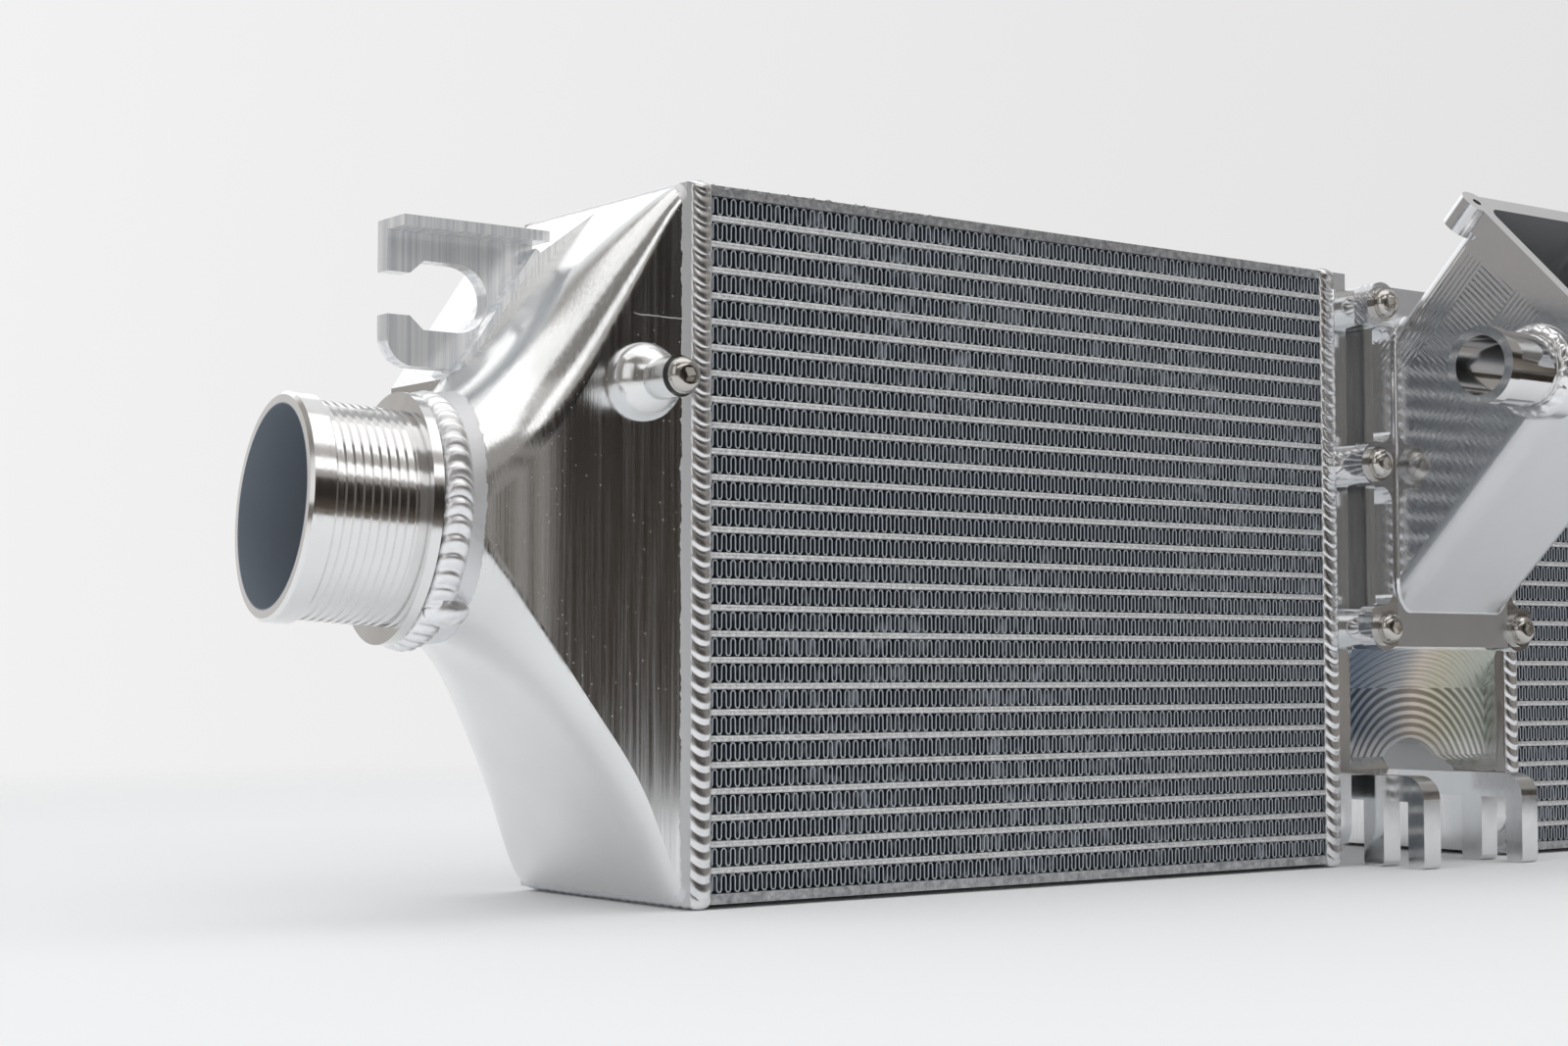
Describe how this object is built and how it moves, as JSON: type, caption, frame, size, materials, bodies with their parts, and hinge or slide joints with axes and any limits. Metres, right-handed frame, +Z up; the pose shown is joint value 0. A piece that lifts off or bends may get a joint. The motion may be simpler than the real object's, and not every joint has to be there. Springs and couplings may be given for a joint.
{
  "type": "intercooler",
  "caption": "Air-to-air intercooler: finned tube cores joined by a machined centre manifold, with end tanks, hose necks, brackets and a bolted outlet duct.",
  "frame": {"origin": "on the ground under the middle of the whole part's box; X = 0 is the middle of the centre manifold", "axes": "+Z up, +X along the cores towards the tank without a sensor boss, -Y the side of the outlet duct"},
  "size_m": [0.9078, 0.2004, 0.2372],
  "materials": {
    "polished_aluminium": "polished and milled",
    "weld_bead": "rippled weld bead",
    "brazed_aluminium": "brazed, dull",
    "fin_strip": "thin folded strip, dark in depth",
    "stainless_fastener": "bright stainless",
    "black_rubber": "matt"
  },
  "bodies": {
    "root": {"left_core_tubes": "brazed_aluminium", "right_core_tubes": "brazed_aluminium", "left_core_fins": "fin_strip", "right_core_fins": "fin_strip", "left_outer_header": "brazed_aluminium", "right_outer_header": "brazed_aluminium", "left_inner_header": "brazed_aluminium", "right_inner_header": "brazed_aluminium", "left_bottom_plate": "brazed_aluminium", "right_bottom_plate": "brazed_aluminium", "left_top_plate": "brazed_aluminium", "right_top_plate": "brazed_aluminium", "left_tank": "polished_aluminium", "right_tank": "polished_aluminium", "left_inlet_neck": "polished_aluminium", "right_inlet_neck": "polished_aluminium", "left_neck_weld": "weld_bead", "right_neck_weld": "weld_bead", "left_tank_weld": "weld_bead", "right_tank_weld": "weld_bead", "left_manifold_weld": "weld_bead", "right_manifold_weld": "weld_bead", "left_bracket": "polished_aluminium", "right_bracket": "polished_aluminium", "left_mounting_fork": "polished_aluminium", "right_mounting_fork": "polished_aluminium", "centre_manifold": "polished_aluminium", "outlet_duct": "polished_aluminium", "outlet_seal": "black_rubber", "outlet_bolts": "stainless_fastener", "bolt_washers": "stainless_fastener", "valve_stub": "polished_aluminium", "stub_weld": "weld_bead", "sensor_plug": "stainless_fastener", "plug_seal": "black_rubber"}
  },
  "joints": []
}
